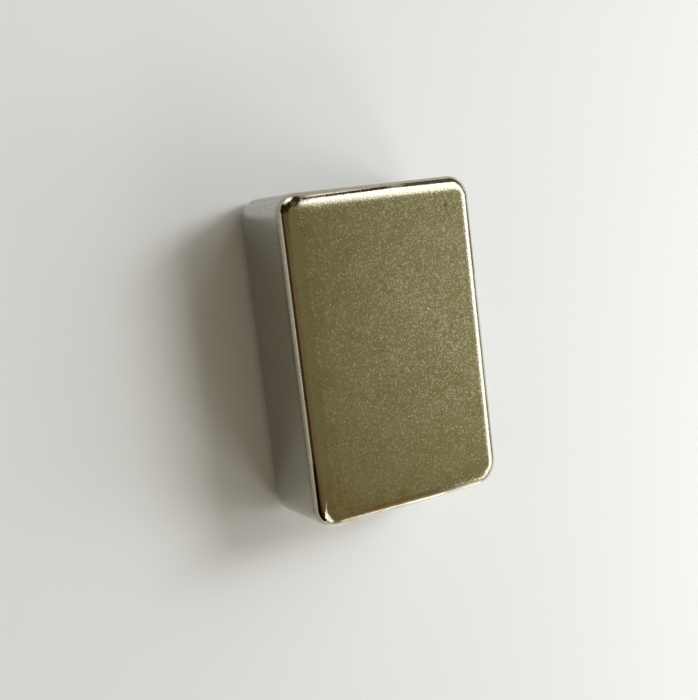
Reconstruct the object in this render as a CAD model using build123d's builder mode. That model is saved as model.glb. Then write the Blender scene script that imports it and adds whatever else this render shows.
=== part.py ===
"""Block magnet: one sintered block, ground flat on six sides, tumbled and plated.

The length runs along Y, the width along X and the thickness along Z, which is the
direction of magnetisation. The origin is the centre of the lower pole face.
"""

import os

from build123d import *

# The ground block, in millimetres
length = 30.0
width = 20.0
thickness = 10.0

# What tumbling wears off before the block is plated, in millimetres
corner_radius = 2.0
rim_radius = 1.45

# A rim's rounding stays a little under the corner that it runs round and under half the thickness
largest_share = 0.96
rim = min(rim_radius, largest_share * corner_radius, largest_share * thickness / 2)

os.makedirs("parts", exist_ok=True)

with BuildPart() as magnet_block:
    # Seen along its magnetic axis the block is a rectangle with round corners
    with BuildSketch(Plane.XY) as pole_outline:
        RectangleRounded(width, length, corner_radius)
    extrude(amount=thickness)

    # The two pole faces meet the four sides in one round rim each
    pole_faces = magnet_block.faces().filter_by(Axis.Z)
    fillet(pole_faces.edges(), radius=rim)

magnet_block.part.label = "magnet_block"
export_step(magnet_block.part, "parts/magnet_block.step")
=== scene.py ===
# %% [markdown]
# # A nickel-plated block magnet
#
# The real thing is one block of sintered magnet alloy. It is ground flat on six sides, tumbled until
# its edges are round, and plated with bright nickel. There is nothing to put together, so everything
# that can be learned here is in the roundings, in the finish, and in what a mirror-like skin reflects.
#
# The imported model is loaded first. It fixes where the block is and how large it is, in metres. The
# block's width runs along X, from the left side at -X to the right side at +X. Its length runs along
# Y, from the near end at -Y to the far end at +Y, and its thickness stands along Z.

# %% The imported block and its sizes
import math

import bmesh
import bpy
from mathutils import Matrix, Vector, noise


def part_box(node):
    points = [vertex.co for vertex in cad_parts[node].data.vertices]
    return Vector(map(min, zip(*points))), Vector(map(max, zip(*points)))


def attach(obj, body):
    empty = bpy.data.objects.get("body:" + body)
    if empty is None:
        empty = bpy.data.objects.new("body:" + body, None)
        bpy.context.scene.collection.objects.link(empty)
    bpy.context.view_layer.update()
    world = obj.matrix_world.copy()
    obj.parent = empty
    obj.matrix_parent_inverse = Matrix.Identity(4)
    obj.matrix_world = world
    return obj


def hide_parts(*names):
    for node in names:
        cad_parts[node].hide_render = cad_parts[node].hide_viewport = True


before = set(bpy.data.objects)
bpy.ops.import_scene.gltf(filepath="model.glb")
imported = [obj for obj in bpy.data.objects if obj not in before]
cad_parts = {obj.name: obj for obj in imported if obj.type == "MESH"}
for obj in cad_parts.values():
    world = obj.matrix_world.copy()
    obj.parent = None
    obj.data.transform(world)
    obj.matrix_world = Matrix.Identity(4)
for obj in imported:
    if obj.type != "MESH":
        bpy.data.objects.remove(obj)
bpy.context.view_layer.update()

MILLIMETRE = 0.001
low_corner, high_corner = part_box("magnet_block")
width, length, thickness = high_corner - low_corner
print(f"block {width / MILLIMETRE:.1f} x {length / MILLIMETRE:.1f} x {thickness / MILLIMETRE:.1f} mm")

# %% [markdown]
# ## The block's skin
#
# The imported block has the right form, but its roundings are cut into flat strips, and a mirror shows
# each strip. A second block with many more strips could come from a subdivision surface, which would
# pull the flat faces out of flat. A bevel keeps them flat and its arcs true, so the skin starts as a
# cube, gets its upright edges bevelled first, and then the two rims that run round the pole faces.
#
# Tumbling wears loose blocks unevenly. One corner of this one is rounder than the other three, so
# each upright edge is bevelled by itself, with its own radius.

# %% A cube with round edges
RIM_RADIUS = 1.45 * MILLIMETRE
CORNER_RADII = {
    # side (-1 left, 1 right) and end (-1 near, 1 far): radius of the upright edge there
    (-1, 1): 2.0 * MILLIMETRE,
    (1, 1): 2.0 * MILLIMETRE,
    (1, -1): 2.6 * MILLIMETRE,
    (-1, -1): 2.0 * MILLIMETRE,
}
WIDEST_CORNER = max(CORNER_RADII.values())
ARC_STRIPS = 20
HAIR = 0.01 * MILLIMETRE  # anything nearer than this counts as being at the same place


def edges_where(mesh, test):
    """The edges whose two ends both pass the test."""
    return [edge for edge in mesh.edges if all(test(vert.co) for vert in edge.verts)]


def round_over(mesh, edges, radius):
    """Turns sharp edges into true arcs."""
    bmesh.ops.bevel(mesh, geom=edges, affect="EDGES", offset=radius, offset_type="OFFSET",
                    segments=ARC_STRIPS, profile=0.5, material=-1, clamp_overlap=True)


def at_corner(co, side, end):
    """Whether a point is on the upright edge at that side and end."""
    return abs(co.x - side * width / 2) < HAIR and abs(co.y - end * length / 2) < HAIR


def on_a_pole(co):
    """Whether a point is level with one of the two pole faces."""
    return abs(co.z - thickness / 2) > thickness / 2 - HAIR


skin_mesh = bmesh.new()
bmesh.ops.create_cube(skin_mesh, size=1.0)
bmesh.ops.scale(skin_mesh, vec=(width, length, thickness), verts=skin_mesh.verts)
bmesh.ops.translate(skin_mesh, vec=(0, 0, thickness / 2), verts=skin_mesh.verts)
for (side, end), radius in CORNER_RADII.items():
    round_over(skin_mesh, edges_where(skin_mesh, lambda co: at_corner(co, side, end)), radius)
pole_edges = edges_where(skin_mesh, on_a_pole)
rims = [edge for edge in pole_edges if abs(edge.verts[0].co.z - edge.verts[1].co.z) < HAIR]
round_over(skin_mesh, rims, RIM_RADIUS)
print("skin after its bevels:", len(skin_mesh.faces), "faces")

# %% [markdown]
# A bevel leaves strips as long as the block. Smooth shading over such long, thin faces can show in a
# mirror, and a dent needs points that can move. Cutting the whole skin with planes, at even steps
# along each axis, gives short faces everywhere without moving anything.

# %% Cut the long strips short
CUT_STEP = 0.5 * MILLIMETRE
ON_THE_CUT = HAIR / 100


def cut_across(mesh, direction, middle, half_span):
    """Cuts the skin at even steps along one direction, between its roundings."""
    count = round(2 * half_span / CUT_STEP)
    for i in range(1, count):
        place = middle + direction * (2 * half_span * i / count - half_span)
        everything = list(mesh.verts) + list(mesh.edges) + list(mesh.faces)
        bmesh.ops.bisect_plane(mesh, geom=everything, plane_co=place, plane_no=direction, dist=ON_THE_CUT)


block_middle = Vector((0, 0, thickness / 2))
cut_across(skin_mesh, Vector((1, 0, 0)), block_middle, width / 2 - WIDEST_CORNER)
cut_across(skin_mesh, Vector((0, 1, 0)), block_middle, length / 2 - WIDEST_CORNER)
cut_across(skin_mesh, Vector((0, 0, 1)), block_middle, thickness / 2 - RIM_RADIUS)
print("skin after the cuts:", len(skin_mesh.faces), "faces")

# %% [markdown]
# ## Small marks in the plating
#
# The upper pole face has one dark pit, and a few pimples that catch the light as single bright points.
# A mark is made as an engraver would: cut a small eight-sided ring, then press in what is inside it,
# or raise it for a pimple. The first inset stays level, so that the shading around the mark stays flat.

# %% Pits and pimples
MARKS = [
    # across the width, along the length, radius, and rise out of the face, in millimetres
    (6.65, 12.35, 0.17, -0.060),
    (5.20, 13.05, 0.09, 0.012),
    (7.40, 12.70, 0.09, 0.012),
    (4.26, 10.40, 0.08, 0.010),
    (7.60, 8.00, 0.08, 0.010),
    (3.50, 3.10, 0.09, 0.012),
    (-1.10, 3.50, 0.08, 0.010),
    (-8.00, -3.20, 0.09, 0.014),
]
MARK_STEPS = [
    # how far each inset goes in, as a share of the radius, and its share of the rise
    (0.15, 0.0),
    (0.35, 0.6),
    (0.25, 0.4),
]
RING_SIDES = 8
REACH_OF_CUTS = 0.8 * MILLIMETRE
LEVEL = HAIR / 10


def level_faces(mesh, spot, reach):
    """The faces of the upper pole face whose middles are within reach of a spot."""
    level = [face for face in mesh.faces if all(vert.co.z > thickness - LEVEL for vert in face.verts)]
    return [face for face in level if (face.calc_center_median() - spot).length < reach]


def cut_ring(mesh, spot, radius):
    """Cuts a ring of straight sides into the upper pole face."""
    for k in range(RING_SIDES):
        turn = 2 * math.pi * (k + 0.5) / RING_SIDES
        outward = Vector((math.cos(turn), math.sin(turn), 0))
        faces = level_faces(mesh, spot, REACH_OF_CUTS)
        # Unlike a set, a dictionary keeps its order, so that every run makes the same mesh
        edges = dict.fromkeys(edge for face in faces for edge in face.edges)
        verts = dict.fromkeys(vert for face in faces for vert in face.verts)
        bmesh.ops.bisect_plane(mesh, geom=list(verts) + list(edges) + faces, dist=ON_THE_CUT,
                               plane_co=spot + outward * radius, plane_no=outward)


def press_mark(mesh, spot, radius, rise):
    """A round pit, or a pimple where the rise is positive."""
    cut_ring(mesh, spot, radius)
    inside = bmesh.ops.dissolve_faces(mesh, faces=level_faces(mesh, spot, radius), use_verts=True)["region"]
    for inward, share in MARK_STEPS:
        bmesh.ops.inset_region(mesh, faces=inside, thickness=radius * inward, depth=rise * share)


for x, y, radius, rise in MARKS:
    spot = Vector((x * MILLIMETRE, y * MILLIMETRE, thickness))
    press_mark(skin_mesh, spot, radius * MILLIMETRE, rise * MILLIMETRE)
print(len(MARKS), "marks pressed, skin now", len(skin_mesh.faces), "faces")

# %% [markdown]
# A loose magnet jumps at steel corner first. The far left corner has been knocked, and the rim beside
# it is bruised for a few millimetres. Moving the skin's points in and out by a few hundredths of a
# millimetre is enough: a mirror doubles every slope.

# %% Knocks at one corner
KNOCKS = [
    # across, along and up, reach and depth, in millimetres
    (-9.2, 14.3, 9.3, 2.2, 0.030),
    (-7.2, 14.8, 9.3, 1.8, 0.022),
    (-5.0, 14.8, 9.3, 1.8, 0.014),
    (-2.6, 14.8, 9.3, 1.8, 0.009),
]
DENT_SIZE = 0.45 * MILLIMETRE


def knock(mesh, spot, reach, depth):
    """Dents the skin unevenly near a spot, most at the spot itself."""
    mesh.normal_update()
    moved = 0
    for vert in mesh.verts:
        share = 1 - (vert.co - spot).length / reach
        if share > 0:
            vert.co += vert.normal * depth * share * noise.noise(vert.co / DENT_SIZE)
            moved += 1
    return moved


for x, y, z, reach, depth in KNOCKS:
    moved = knock(skin_mesh, Vector((x, y, z)) * MILLIMETRE, reach * MILLIMETRE, depth * MILLIMETRE)
    print(f"knock at {x}, {y} mm moved {moved} points")

# %% [markdown]
# The skin now takes the place of the imported block, which is hidden. It rides on the root body, so the
# model still holds one block, only with a finer surface.

# %% The finished skin
bmesh.ops.remove_doubles(skin_mesh, verts=skin_mesh.verts, dist=HAIR / 10)
bmesh.ops.recalc_face_normals(skin_mesh, faces=skin_mesh.faces)
for face in skin_mesh.faces:
    face.smooth = True
skin_data = bpy.data.meshes.new("plated_skin")
skin_mesh.to_mesh(skin_data)
skin_mesh.free()
plated_skin = bpy.data.objects.new("plated_skin", skin_data)
bpy.context.scene.collection.objects.link(plated_skin)
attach(plated_skin, "root")
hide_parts("magnet_block")
print("finished skin:", len(skin_data.polygons), "faces")

# %% [markdown]
# ## Helpers for shader nodes
#
# A material is a tree of small sums. Written out node by node it hides what it says, so a few short
# helpers let each line read like the sum it stands for. Each one takes numbers, or the output of
# another node. A sum that is used many times becomes a group, which is a node with sockets of its own.

# %% A shader group
def new_group(name, inputs, outputs):
    """An empty shader group with named sockets, its input node and its output node."""
    group = bpy.data.node_groups.new(name, "ShaderNodeTree")
    for label, kind, value in inputs:
        socket = group.interface.new_socket(label, in_out="INPUT", socket_type=kind)
        socket.default_value = value
    for label, kind in outputs:
        group.interface.new_socket(label, in_out="OUTPUT", socket_type=kind)
    return group, group.nodes.new("NodeGroupInput"), group.nodes.new("NodeGroupOutput")


# %% A short way to write node trees
class Wiring:
    """Adds nodes to one tree and links them."""

    def __init__(self, tree):
        self.nodes = tree.nodes
        self.links = tree.links

    def feed(self, socket, value):
        """Links another node's output to a socket, or sets the socket to a plain value."""
        if isinstance(value, bpy.types.NodeSocket):
            self.links.new(value, socket)
        else:
            socket.default_value = value

    def math(self, operation, *values):
        """One operation of the Math node."""
        node = self.nodes.new("ShaderNodeMath")
        node.operation = operation
        for socket, value in zip(node.inputs, values):
            self.feed(socket, value)
        return node.outputs[0]

    def minus(self, first, second):
        """The first number less the second."""
        return self.math("SUBTRACT", first, second)

    def times(self, *values):
        """All the numbers multiplied."""
        product = values[0]
        for value in values[1:]:
            product = self.math("MULTIPLY", product, value)
        return product

    def plus(self, *values):
        """All the numbers added up."""
        total = values[0]
        for value in values[1:]:
            total = self.math("ADD", total, value)
        return total

    def vector_math(self, operation, *values):
        """One operation of the Vector Math node, which puts out a vector and a number."""
        node = self.nodes.new("ShaderNodeVectorMath")
        node.operation = operation
        for socket, value in zip(node.inputs, values):
            self.feed(socket, value)
        return node.outputs

    def scaled(self, vector, factor):
        """A vector or a colour times a number."""
        node = self.nodes.new("ShaderNodeVectorMath")
        node.operation = "SCALE"
        self.feed(node.inputs["Vector"], vector)
        self.feed(node.inputs["Scale"], factor)
        return node.outputs["Vector"]

    def ramp(self, value, start, full):
        """Rises smoothly from 0 at start to 1 at full, which may be the lower of the two."""
        node = self.nodes.new("ShaderNodeMapRange")
        node.interpolation_type = "SMOOTHSTEP"
        self.feed(node.inputs["Value"], value)
        self.feed(node.inputs["From Min"], start)
        self.feed(node.inputs["From Max"], full)
        return node.outputs["Result"]

    def mix_values(self, factor, first, second):
        """The first number where the factor is 0 and the second where it is 1."""
        return self.plus(first, self.times(factor, second - first))

    def mix(self, factor, first, second):
        """The first colour where the factor is 0 and the second where it is 1."""
        node = self.nodes.new("ShaderNodeMix")
        node.data_type = "RGBA"
        self.feed(node.inputs["Factor"], factor)
        # The Mix node has sockets of the same names for each kind of value, so its colours go by number
        self.feed(node.inputs[6], first)
        self.feed(node.inputs[7], second)
        return node.outputs[2]

    def noise(self, vector, size, detail=1.0, roughness=0.6):
        """Fractal noise in 0 to 1 whose features are about size metres across."""
        node = self.nodes.new("ShaderNodeTexNoise")
        self.feed(node.inputs["Vector"], vector)
        node.inputs["Scale"].default_value = 1.0 / size
        node.inputs["Detail"].default_value = detail
        node.inputs["Roughness"].default_value = roughness
        return node.outputs["Fac"]

    def cells(self, vector, size):
        """A different even value in 0 to 1 for each of many cells about size metres across."""
        node = self.nodes.new("ShaderNodeTexVoronoi")
        self.feed(node.inputs["Vector"], vector)
        node.inputs["Scale"].default_value = 1.0 / size
        colour = self.nodes.new("ShaderNodeSeparateColor")
        self.feed(colour.inputs[0], node.outputs["Color"])
        return colour.outputs["Red"]


# %% [markdown]
# ## Nickel plating
#
# The finish tells where the block was ground and where it was only tumbled. The pole faces keep the fine,
# grainy skin of the grinding, which the plating copies: thousands of tiny facets, some of which catch the
# light. The sides are smooth. The grain is strongest on the right, which is the window side, and towards the
# far end, and so are its painted glints, which stand in for facets catching the window. It is about half as
# strong at the left edge and at the near end, where the face is also a little darker.
#
# First come the places. Each one is 1 where it holds and fades smoothly to 0 along one axis. A painted
# mask could say the same, but a short table of distances can be read and moved.

# %% Places along the block
PLACES = {
    # place: axis, where it starts and where it is full, in millimetres
    "toward_window": ("X", -11.0, 6.0),
    "off_left_edge": ("X", -9.0, -7.0),
    "toward_far_end": ("Y", -15.0, 2.0),
    "far_half": ("Y", -8.0, 4.0),
    "near_half": ("Y", -2.0, -10.0),
    "near_shade": ("Y", -6.0, -15.0),
    "near_edge": ("Y", -11.5, -13.0),
    "near_rim": ("Y", -14.35, -14.60),
    "far_end": ("Y", 14.55, 14.70),
    "above_side": ("Z", 8.10, 8.60),
    "below_rim": ("Z", 9.25, 8.95),
}

nickel = bpy.data.materials.new("nickel_plating")
nickel.use_nodes = True
wiring = Wiring(nickel.node_tree)
here = wiring.nodes.new("ShaderNodeTexCoord").outputs["Object"]
position = wiring.nodes.new("ShaderNodeSeparateXYZ")
wiring.feed(position.inputs[0], here)
at = {}
for name, (axis, start, full) in PLACES.items():
    at[name] = wiring.ramp(position.outputs[axis], start * MILLIMETRE, full * MILLIMETRE)
print(len(at), "places along the block")

# %% [markdown]
# Other places follow the edges. The rims of the pole faces are calmer than the faces, and a narrow gritty
# line runs where face and rim meet, except along the far part of the left edge. A darker band, the shoulder,
# lies along the sides just under the upper rim and over the whole far end.

# %% Places along the edges
POLE_BAND = (thickness / 2 - 1.3 * MILLIMETRE, thickness / 2 - 0.7 * MILLIMETRE)
RIM_BAND = (1.55 * MILLIMETRE, 1.15 * MILLIMETRE)
GRIT_INNER = (2.0 * MILLIMETRE, 1.4 * MILLIMETRE)
GRIT_OUTER = (0.75 * MILLIMETRE, 1.05 * MILLIMETRE)
GRIT_SHIFT = 0.35 * MILLIMETRE


def from_sides(axis, span):
    """How far in a point is from the nearer of two opposite sides."""
    return wiring.minus(span / 2, wiring.math("ABSOLUTE", position.outputs[axis]))


from_middle = wiring.math("ABSOLUTE", wiring.minus(position.outputs["Z"], thickness / 2))
from_edge = wiring.math("MINIMUM", from_sides("X", width), from_sides("Y", length))
on_pole = wiring.ramp(from_middle, *POLE_BAND)
on_rim = wiring.times(wiring.ramp(from_edge, *RIM_BAND), on_pole)
grit_place = wiring.plus(from_edge, wiring.times(at["near_edge"], GRIT_SHIFT))
grit_line = wiring.times(wiring.ramp(grit_place, *GRIT_INNER), wiring.ramp(grit_place, *GRIT_OUTER))
gritty = wiring.times(grit_line, on_pole, wiring.math("MAXIMUM", at["off_left_edge"], at["near_half"]))
shoulder = wiring.math("MAXIMUM", wiring.times(at["above_side"], at["below_rim"]), at["far_end"])
print(f"pole finish ends {(thickness / 2 - POLE_BAND[0]) / MILLIMETRE:.1f} mm below the face")

# %% [markdown]
# Handling has left pale scuffs and faintly copper-coloured spots. They could be a noise, but a noise would
# put them anywhere. Each is a soft round patch at its own place, and one noise, shared by them all, breaks
# up their outlines. The bruises beside the knocked corner, and a dark brown spot of painted shade over the
# pit, are placed in the same way.

# %% Scuffs and warm spots
SCUFFS = [
    # across, along and radius in millimetres, and strength
    (0.6, 5.9, 3.4, 1.0),
    (-2.0, 8.0, 3.0, 0.5),
    (3.5, 8.0, 2.6, 0.6),
    (3.7, 2.7, 3.2, 1.0),
    (5.2, -1.5, 2.8, 0.6),
    (5.0, -5.3, 2.4, 0.5),
    (4.5, 11.0, 2.6, 0.5),
    (0.0, -1.0, 3.0, 0.4),
]
WARM_SPOTS = [
    (4.6, 9.9, 1.6, 0.6),
    (3.0, 3.75, 1.3, 0.6),
    (1.5, 1.5, 1.2, 0.5),
    (-4.5, -3.0, 1.4, 0.5),
    (1.75, -3.0, 1.4, 0.5),
    (-2.5, -6.5, 2.4, 0.7),
    (-8.0, -7.0, 1.8, 0.7),
    (5.5, -7.5, 1.4, 0.4),
    (-8.5, -12.0, 3.2, 1.2),
    (-6.5, -13.8, 2.2, 1.4),
    (-4.0, -14.0, 1.8, 1.3),
    (-1.6, -14.0, 1.7, 1.1),
    (1.2, -14.0, 1.6, 0.8),
    (4.0, -13.9, 1.6, 0.5),
]
BRUISES = [
    (-9.0, 14.4, 2.2, 1.0),
    (-6.6, 14.9, 2.2, 0.8),
    (-4.2, 14.9, 2.2, 0.6),
    (-1.8, 14.9, 2.2, 0.4),
]
pit_x, pit_y = MARKS[0][:2]
PIT_SHADE_SPOT = [(pit_x, pit_y, 0.30, 1.0)]


def soft_spot_group():
    """A round patch that fades from its middle to its radius."""
    group, source, sink = new_group(
        "soft_spot",
        [("Here", "NodeSocketVector", (0, 0, 0)), ("Middle", "NodeSocketVector", (0, 0, 0)),
         ("Radius", "NodeSocketFloat", MILLIMETRE)],
        [("Mask", "NodeSocketFloat")])
    inside = Wiring(group)
    apart = inside.vector_math("DISTANCE", source.outputs["Here"], source.outputs["Middle"])["Value"]
    inside.feed(sink.inputs["Mask"], inside.ramp(apart, source.outputs["Radius"], 0.0))
    return group


soft_spot = soft_spot_group()


def patches(spots):
    """All the soft spots of one list, added up into one mask."""
    masks = []
    for x, y, radius, strength in spots:
        node = wiring.nodes.new("ShaderNodeGroup")
        node.node_tree = soft_spot
        wiring.feed(node.inputs["Here"], here)
        node.inputs["Middle"].default_value = (x * MILLIMETRE, y * MILLIMETRE, thickness)
        node.inputs["Radius"].default_value = radius * MILLIMETRE
        masks.append(wiring.times(node.outputs["Mask"], strength))
    return wiring.plus(*masks)


# %% The patches, broken up by one noise
OUTLINE_SIZE = 1.1 * MILLIMETRE
SCUFF_BREAK = (0.30, 0.62)
WARM_BREAK = (0.38, 0.60)

outline = wiring.noise(here, OUTLINE_SIZE, detail=3.0)
scuffed = wiring.times(patches(SCUFFS), wiring.ramp(outline, *SCUFF_BREAK), on_pole)
warm = wiring.times(patches(WARM_SPOTS), wiring.ramp(outline, *WARM_BREAK), on_pole)
bruised = patches(BRUISES)
pit_shade = patches(PIT_SHADE_SPOT)
print(len(SCUFFS), "scuffs and", len(WARM_SPOTS), "warm spots")

# %% [markdown]
# Under a lens the grain is thousands of flat facets, each tilted its own way, so each has one even tone. A
# smooth noise would look like worms. Cells with a value each give facets, and only the top of their range
# glints. These glints are painted highlights: those facets get a lighter base colour. Scuffs lower that
# threshold, because rubbing turns more facets up.

# %% Grain
FACET_SIZE = 0.115 * MILLIMETRE
GRAIN_ACROSS = (0.40, 0.82)   # at the left edge, and on the window side
GRAIN_ALONG = (0.42, 1.00)    # at the near end, and from the middle on
GRAIN_SCUFFED = (0.90, 1.15)  # on clean skin, and in a scuff
GLINT_START = (0.76, 0.54)    # on clean skin, and in a scuff
GLINT_FULL = 1.05

# Coarseness drives roughness and relief, and also the painted glints, so the painted light in the grain
# grows towards the window.
coarseness = wiring.times(wiring.mix_values(at["toward_window"], *GRAIN_ACROSS),
                          wiring.mix_values(at["toward_far_end"], *GRAIN_ALONG),
                          wiring.mix_values(scuffed, *GRAIN_SCUFFED),
                          on_pole)
facets = wiring.cells(here, FACET_SIZE)
# Painted highlights: the brightest facets get a lighter base colour.
painted_glints = wiring.ramp(facets, wiring.mix_values(scuffed, *GLINT_START), GLINT_FULL)
print(f"facets {FACET_SIZE / MILLIMETRE:.3f} mm across")

# %% [markdown]
# The facets, the painted glints and two broader noises make the metal lighter here and darker there. They
# are added up around zero, so that they leave the mean tone alone, and the rims get less of them all.

# %% Lighter and darker places
MOTTLE_SIZE = 2.6 * MILLIMETRE
RIPPLE_SIZE = 0.25 * MILLIMETRE
MEAN_NOISE = 0.5
MEAN_GLINT = 0.10
FACET_CONTRAST = 0.60
GLINT_CONTRAST = 1.45
MOTTLE_CONTRAST = 0.30
RIPPLE_CONTRAST = (0.60, 0.45)  # on the sides, and on the pole faces
SCUFF_LIFT = 0.12
NEAR_SHADE_LIFT = -0.13
HALVES_LIFT = (-0.05, 0.06)     # on the near half, and on the far half
CALM_OF_RIMS = (1.0, 0.4)       # off the rims, and on them

mottle = wiring.minus(wiring.noise(here, MOTTLE_SIZE, detail=2.0), MEAN_NOISE)
ripple = wiring.minus(wiring.noise(here, RIPPLE_SIZE, detail=2.0), MEAN_NOISE)
lightness = wiring.plus(
    wiring.times(wiring.minus(facets, MEAN_NOISE), coarseness, FACET_CONTRAST),
    wiring.times(wiring.minus(painted_glints, MEAN_GLINT), coarseness, GLINT_CONTRAST),
    wiring.times(mottle, on_pole, MOTTLE_CONTRAST),
    wiring.times(scuffed, SCUFF_LIFT),
    wiring.times(at["near_shade"], on_pole, NEAR_SHADE_LIFT),
    wiring.times(wiring.mix_values(at["far_half"], *HALVES_LIFT), on_pole),
    wiring.times(ripple, wiring.mix_values(on_pole, *RIPPLE_CONTRAST)))
calmed = wiring.times(lightness, wiring.mix_values(on_rim, *CALM_OF_RIMS))
print(f"ripple {RIPPLE_SIZE / MILLIMETRE:.2f} mm and mottle {MOTTLE_SIZE / MILLIMETRE:.1f} mm across")

# %% [markdown]
# Nickel is a warm grey, a little yellower on the ground faces than on the smooth sides. The shoulder is
# darker, which darkens what it mirrors. The rim at the near end is painted lighter, a painted highlight that
# makes what it mirrors brighter. A metal has no diffuse colour, so the lightness is added to the base colour
# and held inside what a metal can be. It is added a little bluer than the metal, a painted reflection of the
# window in the glinting facets.

# %% Colour of the nickel
SIDE_TINT = (0.51, 0.495, 0.46, 1)
POLE_TINT = (0.63, 0.595, 0.48, 1)
SHOULDER_TINT = (0.33, 0.30, 0.225, 1)
NEAR_RIM_HIGHLIGHT_TINT = (0.90, 0.87, 0.78, 1)
WARM_TINT = (0.61, 0.44, 0.34, 1)
GRAIN_AND_GLINT_TINT = (0.58, 0.61, 0.78)
PIT_SHADE_TINT = (0.20, 0.10, 0.05, 1)
DARKEST = (0.20, 0.18, 0.14)
LIGHTEST = (0.97, 0.96, 0.94)
SHOULDER_SHARE = 0.8
NEAR_RIM_HIGHLIGHT_SHARE = 0.8
WARM_SHARE = 0.6

tint = wiring.mix(on_pole, SIDE_TINT, POLE_TINT)
# The shoulder's metal is darker, which darkens what the plating mirrors there.
tint = wiring.mix(wiring.times(shoulder, SHOULDER_SHARE), tint, SHOULDER_TINT)
# Painted highlight: the near rim is made lighter, so what it mirrors shows brighter.
tint = wiring.mix(wiring.times(at["near_rim"], NEAR_RIM_HIGHLIGHT_SHARE), tint, NEAR_RIM_HIGHLIGHT_TINT)
tint = wiring.mix(wiring.times(warm, WARM_SHARE), tint, WARM_TINT)
# The lightness goes in with a bluish tint, a painted reflection of the window in the glints.
toned = wiring.vector_math("ADD", tint, wiring.scaled(GRAIN_AND_GLINT_TINT, calmed))["Vector"]
toned = wiring.vector_math("MAXIMUM", toned, DARKEST)["Vector"]
toned = wiring.vector_math("MINIMUM", toned, LIGHTEST)["Vector"]
# Painted shade: a dark brown spot over the pit stands in for the dark of its steep walls.
toned = wiring.mix(pit_shade, toned, PIT_SHADE_TINT)
shader = wiring.nodes["Principled BSDF"]
shader.inputs["Metallic"].default_value = 1.0
wiring.feed(shader.inputs["Base Color"], toned)
print("metal of the sides", SIDE_TINT[:3], "and of the pole faces", POLE_TINT[:3])

# %% [markdown]
# The relief is two thousandths of a millimetre deep, far finer than the skin's own faces, so a bump is
# enough. It is faint everywhere, follows the grain on the pole faces, and is many times stronger in
# the gritty line and in the bruises, where it breaks up what the metal mirrors.

# %% Roughness and relief of the nickel
POLISHED_ROUGHNESS = 0.065
GRAIN_ROUGHNESS = 0.03
RELIEF_SIZE = 0.13 * MILLIMETRE
RELIEF_DEPTH = 0.002 * MILLIMETRE
RELIEF_EVERYWHERE = 0.15
RELIEF_OF_GRIT = 8.0
RELIEF_OF_BRUISES = 7.0

roughness = wiring.plus(POLISHED_ROUGHNESS, wiring.times(coarseness, GRAIN_ROUGHNESS))
wiring.feed(shader.inputs["Roughness"], roughness)
relief_share = wiring.plus(RELIEF_EVERYWHERE, coarseness, wiring.times(gritty, RELIEF_OF_GRIT),
                           wiring.times(bruised, RELIEF_OF_BRUISES))
relief = wiring.nodes.new("ShaderNodeBump")
relief.inputs["Distance"].default_value = RELIEF_DEPTH
wiring.feed(relief.inputs["Height"], wiring.times(wiring.noise(here, RELIEF_SIZE), relief_share))
wiring.feed(shader.inputs["Normal"], relief.outputs[0])
skin_data.materials.append(nickel)
print("nickel plating:", len(wiring.nodes), "nodes")

# %% [markdown]
# ## Floor
#
# The block lies on a plain pale floor. The floor matters more than it would under a dull object: the
# grey of the block's sides is the floor, mirrored.

# %% Floor
FLOOR_REACH = 1.5
FLOOR_SIDES = 96
FLOOR_WHITE = (0.855, 0.867, 0.890, 1)
FLOOR_ROUGHNESS = 0.9
FLOOR_SHINE = 0.1


def add_staged(name, mesh, material):
    """Links a finished mesh as a part of the set and not of the block."""
    data = bpy.data.meshes.new(name)
    mesh.to_mesh(data)
    mesh.free()
    data.materials.append(material)
    piece = bpy.data.objects.new(name, data)
    bpy.context.scene.collection.objects.link(piece)
    return piece


matt_white = bpy.data.materials.new("pale_floor")
matt_white.use_nodes = True
matt_shader = matt_white.node_tree.nodes["Principled BSDF"]
matt_shader.inputs["Base Color"].default_value = FLOOR_WHITE
matt_shader.inputs["Roughness"].default_value = FLOOR_ROUGHNESS
matt_shader.inputs["Specular IOR Level"].default_value = FLOOR_SHINE
floor_mesh = bmesh.new()
bmesh.ops.create_circle(floor_mesh, cap_ends=True, segments=FLOOR_SIDES, radius=FLOOR_REACH)
add_staged("pale_floor", floor_mesh, matt_white)
print(f"floor {2 * FLOOR_REACH:.1f} m across")

# %% [markdown]
# ## Light tent
#
# A mirror-like object is lit by what surrounds it, so the light is built as a photographer would
# build it: a dim tent over the table, with soft-edged panels hung on it. Each panel has its place in
# degrees round the block, counted from +X towards +Y, and in degrees above the floor. The tent glows
# by itself and is hidden from the camera.

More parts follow.
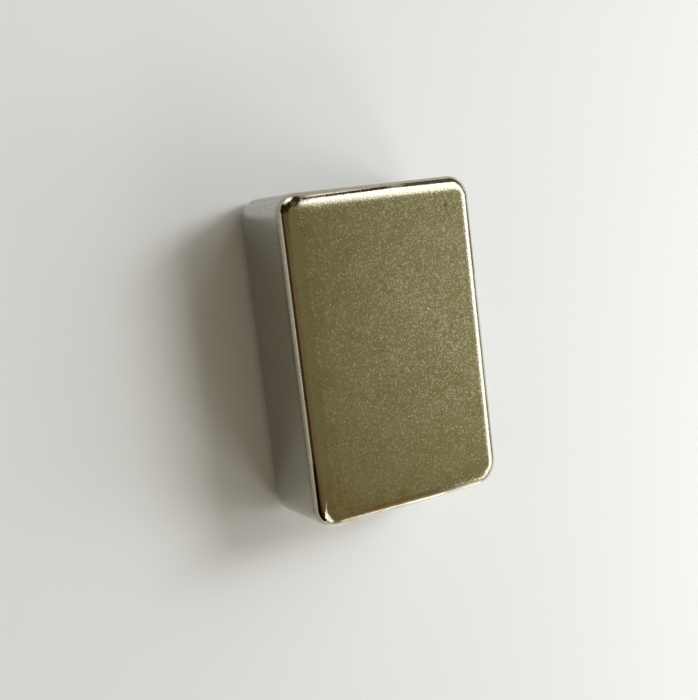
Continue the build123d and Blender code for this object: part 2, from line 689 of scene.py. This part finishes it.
# %% Panels of the tent
TENT_SHADE = (0.195, 0.175, 0.088, 1)
PANELS = [
    # name, colour, strength, middle, half width, side softness, then four heights:
    # where it starts, where it is full, where it is last full and where it ends
    ("left wall", (0.185, 0.138, 0.080), 1.0, 180, 70, 20, 5, 12, 35, 50),
    ("left foot", (0.06, 0.04, 0.02), 1.0, 180, 75, 15, -2, -1, 6, 20),
    ("dark foot", (0.035, 0.022, 0.012), 1.0, 240, 38, 10, -2, -1, 18, 26),
    ("front wall", (0.34, 0.30, 0.21), 1.0, 295, 25, 20, -2, -1, 8, 32),
    ("brown wall", (0.20, 0.15, 0.085), 1.0, 280, 30, 15, 20, 30, 52, 60),
    ("lit ceiling", (0.405, 0.385, 0.240), 1.0, 20, 30, 45, 35, 40, 50, 66),
    ("high glow", (1.0, 1.0, 0.92), 1.0, 46, 20, 22, 40, 44, 51, 70),
    ("window", (0.97, 0.99, 1.0), 2.0, 16, 46, 5, 7, 15, 42, 48),
    ("corner window", (1.0, 0.98, 0.92), 2.0, 328, 7, 3, 14, 20, 30, 36),
    ("lamp face", (1.0, 1.0, 0.98), 3.0, 24, 9, 3, 39, 41, 46, 49),
    ("right wall", (0.30, 0.29, 0.26), 1.0, 334, 16, 4, -2, -1, 6, 18),
    ("back wall", (0.05, 0.04, 0.03), 1.0, 105, 43, 4, 3, 6, 17, 26),
    ("brown corner", (0.12, 0.085, 0.04), 1.0, 146, 32, 5, 8, 14, 38, 52),
    ("dark corner", (0.03, 0.02, 0.01), 1.0, 132, 22, 14, 1, 4, 38, 52),
]
PANEL_MEASURES = ["Middle", "Half Width", "Side Softness", "Low Start", "Low Full", "High Full", "High End"]


def panel_group():
    """A soft-edged rectangle on the tent, in degrees of azimuth and elevation."""
    labels = ["Azimuth", "Elevation"] + PANEL_MEASURES
    group, source, sink = new_group(
        "tent_panel", [(label, "NodeSocketFloat", 0.0) for label in labels], [("Mask", "NodeSocketFloat")])
    inside = Wiring(group)
    given = source.outputs
    turned = inside.math("WRAP", inside.minus(given["Azimuth"], given["Middle"]), 180.0, -180.0)
    side_end = inside.plus(given["Half Width"], given["Side Softness"])
    across = inside.ramp(inside.math("ABSOLUTE", turned), side_end, given["Half Width"])
    rise = inside.ramp(given["Elevation"], given["Low Start"], given["Low Full"])
    fall = inside.ramp(given["Elevation"], given["High End"], given["High Full"])
    inside.feed(sink.inputs["Mask"], inside.times(across, rise, fall))
    return group


print(len(PANELS), "panels, the brightest of strength", max(panel[2] for panel in PANELS))

# %% [markdown]
# The tent is half a ball, and its cloth is one glowing material. The panels could be meshes of their
# own, but then each would have hard edges. As masks on the cloth they fade into one another, and a
# later panel lies over an earlier one.

# %% The cloth of the tent
def tent_material():
    """Glowing cloth that carries all the panels."""
    material = bpy.data.materials.new("tent_cloth")
    material.use_nodes = True
    material.cycles.emission_sampling = "NONE"
    material.node_tree.nodes.clear()
    cloth = Wiring(material.node_tree)
    there = cloth.nodes.new("ShaderNodeTexCoord").outputs["Object"]
    split = cloth.nodes.new("ShaderNodeSeparateXYZ")
    cloth.feed(split.inputs[0], cloth.vector_math("NORMALIZE", there)["Vector"])
    azimuth = cloth.math("DEGREES", cloth.math("ARCTAN2", split.outputs["Y"], split.outputs["X"]))
    elevation = cloth.math("DEGREES", cloth.math("ARCSINE", split.outputs["Z"]))
    panel = panel_group()
    colour = TENT_SHADE
    for name, tint, strength, *measures in PANELS:
        node = cloth.nodes.new("ShaderNodeGroup")
        node.node_tree = panel
        node.label = name
        cloth.feed(node.inputs["Azimuth"], azimuth)
        cloth.feed(node.inputs["Elevation"], elevation)
        for label, measure in zip(PANEL_MEASURES, measures):
            cloth.feed(node.inputs[label], float(measure))
        colour = cloth.mix(node.outputs["Mask"], colour, tuple(strength * part for part in tint) + (1,))
    glow = cloth.nodes.new("ShaderNodeEmission")
    cloth.feed(glow.inputs["Color"], colour)
    cloth.feed(cloth.nodes.new("ShaderNodeOutputMaterial").inputs["Surface"], glow.outputs[0])
    return material


# %% The tent over the table
TENT_STRIPS = 64
TENT_RINGS = 32

tent_mesh = bmesh.new()
bmesh.ops.create_uvsphere(tent_mesh, u_segments=TENT_STRIPS, v_segments=TENT_RINGS, radius=FLOOR_REACH)
whole_ball = list(tent_mesh.verts) + list(tent_mesh.edges) + list(tent_mesh.faces)
bmesh.ops.bisect_plane(tent_mesh, geom=whole_ball, plane_co=(0, 0, 0), plane_no=(0, 0, -1), clear_outer=True)
bmesh.ops.reverse_faces(tent_mesh, faces=tent_mesh.faces)
light_tent = add_staged("light_tent", tent_mesh, tent_material())
light_tent.visible_camera = False
print("light tent:", len(light_tent.data.polygons), "faces")

# %% [markdown]
# ## Lamps
#
# Four rectangular lamps light the floor and throw the soft shadow. The main one is high, in the
# window panel's direction. Three weak ones stand to the right, in front, and to the left, where the
# last keeps the shadow from going brown. A lamp that the plating mirrored would be far too bright in
# it, so the lamps are left out of the reflections, and the tent's panels stand there in their stead.

# %% Lamps
def toward(azimuth, elevation):
    """The direction from the block, as a unit vector."""
    turn = math.radians(azimuth)
    rise = math.radians(elevation)
    return Vector((math.cos(turn) * math.cos(rise), math.sin(turn) * math.cos(rise), math.sin(rise)))


def lamp(name, azimuth, elevation, distance, across, tall, radiance, tint):
    """A rectangular lamp, so many metres off, that spans so many degrees across and tall."""
    data = bpy.data.lights.new(name, "AREA")
    data.shape = "RECTANGLE"
    data.size = 2 * distance * math.tan(math.radians(across / 2))
    data.size_y = 2 * distance * math.tan(math.radians(tall / 2))
    data.energy = radiance * math.pi * data.size * data.size_y
    data.color = tint
    piece = bpy.data.objects.new(name, data)
    piece.location = toward(azimuth, elevation) * distance
    piece.rotation_euler = toward(azimuth, elevation).to_track_quat("Z", "Y").to_euler()
    piece.visible_glossy = False
    bpy.context.scene.collection.objects.link(piece)
    print(f"{name}: {data.size / MILLIMETRE:.0f} x {data.size_y / MILLIMETRE:.0f} mm, {data.energy:.2f} W")


lamp("main_lamp", azimuth=24, elevation=47, distance=0.30, across=14, tall=27,
     radiance=10.3, tint=(0.98, 1.0, 1.0))
lamp("low_lamp", azimuth=342, elevation=23, distance=0.16, across=20, tall=14,
     radiance=6.0, tint=(1.0, 0.99, 0.97))
lamp("front_lamp", azimuth=296, elevation=30, distance=0.22, across=20, tall=20,
     radiance=4.3, tint=(1.0, 0.99, 0.97))
lamp("left_lamp", azimuth=175, elevation=35, distance=0.25, across=30, tall=20,
     radiance=0.85, tint=(0.97, 0.90, 1.0))

# %% [markdown]
# ## Cards
#
# A bright rim mirrors half a room in a band of a millimetre and a half, and the fine lines in that
# band are what says metal. Panels of the tent could draw them, but they are so far off that a whole
# rim would see them at one height. Cards near the block, some of them sloping, make lines that run
# slantwise along a rim and change from corner to corner, as things on a real table do. They glow by
# themselves and are seen in the plating only, so they neither light nor shade the floor.

# %% Cards
CARDS = [
    # name, colour and glow, then for each end its place on the floor and its two heights, in millimetres
    ("left_card", (0.050, 0.030, 0.013, 1), 1.0, (-76, 48, 0, 18), (-44, -78, 0, 18)),
    ("black_card", (0.008, 0.004, 0.001, 1), 1.0, (-49, -18.5, 0, 17), (-24, -43, 0, 10)),
    ("side_light_high", (0.95, 0.97, 1.0, 1), 2.1, (-94, -54, 67.8, 115), (-61.2, -76.1, 26.5, 90)),
    ("side_light_low", (0.95, 0.97, 1.0, 1), 1.8, (-61.2, -76.1, 26.5, 90), (-14.4, -107.6, 14.4, 52)),
    ("high_dark_card", (0.03, 0.02, 0.015, 1), 1.0, (13.7, 63.7, 32, 70), (18.9, 60.7, 13, 34)),
    ("slanted_dark_card", (0.05, 0.035, 0.025, 1), 1.0, (18.9, 60.7, 12, 32), (27.5, 55.7, 0.5, 21.5)),
    ("slanted_white_card", (1.0, 0.97, 0.92, 1), 1.3, (10.2, 65.7, 12, 33), (25.8, 56.7, -9, 0)),
    ("far_dark_card", (0.12, 0.095, 0.07, 1), 1.0, (19.0, 39.8, 0, 17), (33, 34, 2, 19)),
    ("far_side_card", (0.13, 0.11, 0.09, 1), 1.0, (33, 34, 2, 19), (40.5, 20, 9.5, 23)),
    ("side_card", (0.16, 0.14, 0.12, 1), 1.0, (40.5, 20, 9.5, 23), (41, 3, 2, 8)),
    ("right_card", (0.26, 0.26, 0.23, 1), 1.0, (81.2, -36.4, 0, 12), (88, 12, 0, 12)),
    ("front_card", (1.0, 0.95, 0.84, 1), 1.75, (11.2, -55.9, 12.2, 21.9), (15.6, -32.8, -2.6, 5)),
    ("front_end_card", (1.0, 0.93, 0.82, 1), 1.4, (17.2, -31.8, 0, 16.5), (21.2, -30.9, 0, 12)),
    ("right_corner_card", (1.0, 0.96, 0.86, 1), 1.8, (23.8, -35, 15.7, 27.7), (29.5, -29.9, 15.7, 27.7)),
    ("corner_dark_card", (0.04, 0.028, 0.016, 1), 1.0, (-10.0, 41, 3.5, 58), (6.0, 42, 3.5, 58)),
    ("corner_card", (1.0, 1.0, 0.97, 1), 1.8, (-10.4, 39.5, 0, 13), (-22.7, 35.7, 0, 6.9)),
    ("corner_black_card", (0.02, 0.014, 0.006, 1), 1.0, (-21.3, 30.7, 0, 13), (-38.5, 22.3, 0, 14)),
]
BLACK = (0, 0, 0, 1)


def glowing_material(name, colour, glow):
    """A black surface that gives off light of one colour."""
    material = bpy.data.materials.new(name)
    material.use_nodes = True
    material.cycles.emission_sampling = "NONE"
    surface = material.node_tree.nodes["Principled BSDF"]
    surface.inputs["Base Color"].default_value = BLACK
    surface.inputs["Roughness"].default_value = 1.0
    surface.inputs["Specular IOR Level"].default_value = 0.0
    surface.inputs["Emission Color"].default_value = colour
    surface.inputs["Emission Strength"].default_value = glow
    return material


def card(name, colour, glow, one_end, other_end):
    """A glowing strip between two upright ends, which is seen in the plating only."""
    mesh = bmesh.new()
    corners = []
    for x, y, low, high in (one_end, other_end):
        corners.append([mesh.verts.new(Vector((x, y, z)) * MILLIMETRE) for z in (low, high)])
    mesh.faces.new([corners[0][0], corners[1][0], corners[1][1], corners[0][1]])
    piece = add_staged(name, mesh, glowing_material(name, colour, glow))
    piece.visible_camera = False
    piece.visible_diffuse = False
    piece.visible_shadow = False


for row in CARDS:
    card(*row)
print(len(CARDS), "cards")

# %% [markdown]
# ## Room
#
# Beyond the floor's edge, which only a low view shows, the room is as pale as the floor.

# %% World
ROOM_WHITE = (0.86, 0.86, 0.83, 1)
world = bpy.data.worlds.new("pale_room")
bpy.context.scene.world = world
world.use_nodes = True
world.node_tree.nodes["Background"].inputs["Color"].default_value = ROOM_WHITE
print("room colour", ROOM_WHITE[:3])

# %% [markdown]
# ## Camera
#
# The camera looks steeply down from about nine centimetres, close enough that the left long side shows
# beside the pole face. It is turned a little about its own line of sight, so the block leans in the
# picture.

# %% Camera
CAMERA_SPOT = Vector((-48.56, 13.17, 88.22)) * MILLIMETRE
AIM_POINT = Vector((-5.27, 0.79, 10.0)) * MILLIMETRE
LENS = 52.5
LEAN = math.radians(7.89)
NEAREST_SEEN = 5 * MILLIMETRE

backward = (CAMERA_SPOT - AIM_POINT).normalized()
up_the_picture = Vector((math.sin(LEAN), math.cos(LEAN), 0))
rightward = up_the_picture.cross(backward).normalized()
upward = backward.cross(rightward)
facing = Matrix((rightward, upward, backward)).transposed().to_4x4()
camera_data = bpy.data.cameras.new("camera")
camera_data.lens = LENS
camera_data.clip_start = NEAREST_SEEN
camera = bpy.data.objects.new("camera", camera_data)
camera.matrix_world = Matrix.Translation(CAMERA_SPOT) @ facing
bpy.context.scene.collection.objects.link(camera)
bpy.context.scene.camera = camera
bpy.context.scene.view_settings.view_transform = "Standard"
print(f"camera {(CAMERA_SPOT - AIM_POINT).length / MILLIMETRE:.0f} mm from the point it looks at")
